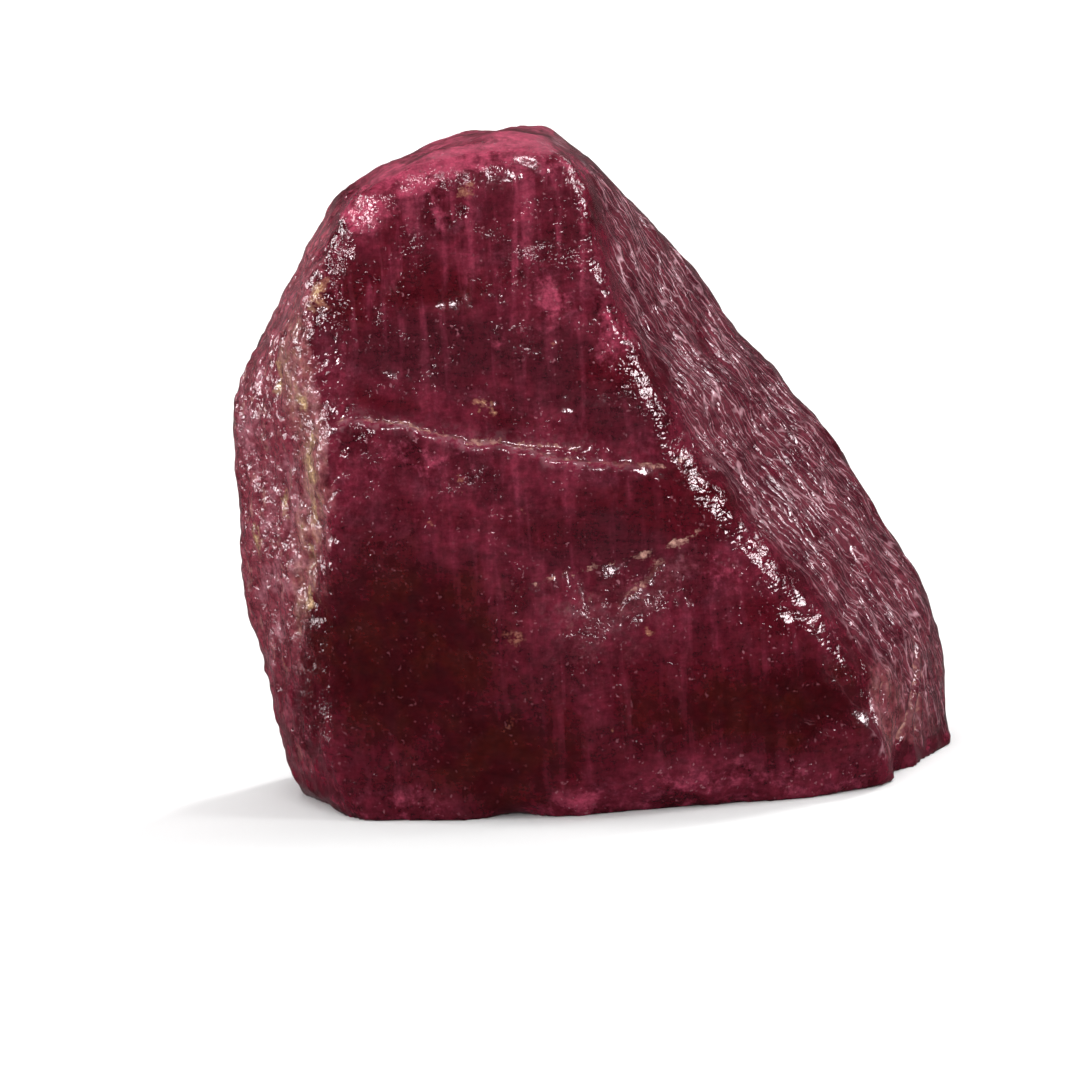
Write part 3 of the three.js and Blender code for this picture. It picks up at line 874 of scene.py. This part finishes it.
    # Fine relief, in mm: lumps and knobs where the skin is crumpled, pits, crests and grain.
    crumple = g.step(g.plus(field["crumple"], g.times(loose, 0.8)), 0.0, 1.0)
    leather = g.times(lumps, g.step(crumple, 0.0, 1.0, 0.04, 0.12))
    leather = g.plus(leather, g.times(knobs, field["knobs"], 0.15))
    leather = g.times(leather, g.step(field["grooved"], 0.0, 1.0, 1.0, 0.4))
    pits = g.times(g.noise(place, 0.20, 2.0, 0.5), g.step(crumple, 0.0, 1.0, 0.006, 0.027))
    warts = g.times(g.step(g.noise(place, 0.26, 0.0), 0.66, 0.78), sparkle, 0.022)
    steps = g.times(g.noise(level, 1.0, 0.0), field["front"], sparkle)
    steps = g.times(steps, g.step(crumple, 0.0, 1.0, 0.008, 0.048))
    lines = g.times(bands, field["front"], 0.08)
    height = g.plus(leather, pits, warts, steps, lines, g.times(grain, 0.005), g.times(net, 0.070))
    height = g.times(height, g.step(field["clear"], 0.4, 1.0, 1.0, 0.55))
    bump = g.node("ShaderNodeBump", {"Strength": 1.0, "Distance": MM, "Height": height}).outputs[0]

    rough = g.step(g.noise(place, 0.8, 3.0), 0.3, 0.7, 0.09, 0.18)
    rough = g.plus(rough, g.times(field["matte"], 0.06), g.times(field["dry"], 0.35))
    rough = g.plus(rough, g.times(field["pink"], 0.03))

    shader = g.node(
        "ShaderNodeBsdfPrincipled",
        {"Base Color": colour, "Roughness": rough, "Normal": bump, "IOR": RUBY_IOR},
    )
    shader.inputs["Specular IOR Level"].default_value = SPECULAR_LEVEL
    shader.inputs["Specular Tint"].default_value = SPECULAR_TINT
    g.node("ShaderNodeOutputMaterial", {"Surface": shader.outputs[0]})
    return g.material


# ---- Stage ------------------------------------------------------------------------------------

FLOOR_SIDE = 6.0  # metres from the stone to the floor's edges
FLOOR_COLOUR = (0.86, 0.86, 0.86, 1.0)
BACKDROP_COLOUR = (0.95, 0.95, 0.95, 1.0)

# Name, direction from the stone to the light, strength, width in degrees, and what it lights.
LIGHTS = [
    ("key", (0.70, -0.34, 0.62), 0.6, 11, "body"),
    ("key_back", (0.45, 0.50, 0.74), 1.3, 11, "body"),
    ("key_back_glints", (0.45, 0.50, 0.74), 0.3, 11, "glints"),
    ("key_glints", (0.775, -0.22, 0.595), 2.0, 20, "glints"),
    ("brow_glints", (-0.10, -0.52, 0.85), 0.8, 11, "glints"),
    ("left_glints", (-0.925, 0.354, 0.138), 0.3, 11, "glints"),
    ("side", (0.82, 0.10, 0.55), 0.35, 12),
    ("left", (-0.88, -0.34, 0.24), 0.75, 13, "body"),
    ("left_brow_glints", (-0.82, -0.32, 0.44), 0.9, 10, "glints"),
    ("left_back", (-0.85, 0.35, 0.40), 1.45, 14, "body"),
    ("left_back_glints", (-0.85, 0.35, 0.40), 0.7, 14, "glints"),
    ("top", (0.0, 0.1, 1.0), 1.9, 60, "body"),
    ("front", (-0.1, -1.0, 0.55), 1.5, 60, "body"),
]


def make_floor():
    mesh = bpy.data.meshes.new("floor")
    corners = [(FLOOR_SIDE * x, FLOOR_SIDE * y, 0) for x, y in ((-1, -1), (1, -1), (1, 1), (-1, 1))]
    mesh.from_pydata(corners, [], [(0, 1, 2, 3)])
    floor = bpy.data.objects.new("floor", mesh)
    bpy.context.scene.collection.objects.link(floor)
    g = Graph("floor")
    shader = g.node("ShaderNodeBsdfDiffuse", {"Color": FLOOR_COLOUR})
    g.node("ShaderNodeOutputMaterial", {"Surface": shader.outputs[0]})
    mesh.materials.append(g.material)
    floor.visible_glossy = False  # a dark reflector: the lower faces keep their clear red


def sun(name, towards, strength, angle, lit="both"):
    """A soft studio light, far away. towards points from the stone to the light."""
    data = bpy.data.lights.new(name, "SUN")
    data.energy = strength
    data.angle = math.radians(angle)
    lamp = bpy.data.objects.new(name, data)
    lamp.rotation_euler = Vector(towards).to_track_quat("Z", "Y").to_euler()
    lamp.visible_glossy = lit != "body"
    lamp.visible_diffuse = lit != "glints"
    bpy.context.scene.collection.objects.link(lamp)


def make_lights():
    for light in LIGHTS:
        sun(*light)


def make_world():
    """Dim in front, white behind, and a plain pale backdrop for the camera itself."""
    world = bpy.data.worlds.new("studio")
    bpy.context.scene.world = world
    world.use_nodes = True
    tree = world.node_tree
    tree.nodes.clear()
    new = tree.nodes.new
    way = new("ShaderNodeTexCoord")
    parts = new("ShaderNodeSeparateXYZ")
    tree.links.new(way.outputs["Generated"], parts.inputs[0])
    behind = new("ShaderNodeMapRange")
    behind.interpolation_type = "SMOOTHSTEP"
    for key, value in (("From Min", 0.62), ("From Max", 1.0), ("To Min", 0.01), ("To Max", 0.14)):
        behind.inputs[key].default_value = value
    tree.links.new(parts.outputs["Y"], behind.inputs["Value"])
    light = new("ShaderNodeBackground")
    tree.links.new(behind.outputs[0], light.inputs["Strength"])
    seen = new("ShaderNodeBackground")
    seen.inputs["Color"].default_value = BACKDROP_COLOUR
    path = new("ShaderNodeLightPath")
    mix = new("ShaderNodeMixShader")
    tree.links.new(path.outputs["Is Camera Ray"], mix.inputs[0])
    tree.links.new(light.outputs[0], mix.inputs[1])
    tree.links.new(seen.outputs[0], mix.inputs[2])
    out = new("ShaderNodeOutputWorld")
    tree.links.new(mix.outputs[0], out.inputs["Surface"])


CAMERA_TARGET = (-2.96, -1.06, 13.65)
CAMERA_ELEVATION = 8.0
CAMERA_ROLL = 3.56
CAMERA_DISTANCE = 250.0
CAMERA_LENS = 150.0


def make_camera():
    data = bpy.data.cameras.new("camera")
    data.lens = CAMERA_LENS
    data.sensor_width = 36.0
    data.clip_start = 0.01
    data.clip_end = 20.0
    camera = bpy.data.objects.new("camera", data)
    tilt = Euler((math.radians(90.0 - CAMERA_ELEVATION), 0.0, 0.0)).to_matrix()
    roll = Matrix.Rotation(math.radians(-CAMERA_ROLL), 3, "Z")
    turn = (tilt @ roll).to_4x4()
    back = tilt @ Vector((0.0, 0.0, CAMERA_DISTANCE * MM))
    camera.matrix_world = Matrix.Translation(Vector(CAMERA_TARGET) * MM + back) @ turn
    bpy.context.scene.collection.objects.link(camera)
    bpy.context.scene.camera = camera


stone = make_stone()
stone.data.materials.append(ruby_material())
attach(stone, "root")
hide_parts(CAD_NODE)

make_floor()
make_lights()
make_world()
make_camera()
bpy.context.scene.view_settings.view_transform = "Standard"
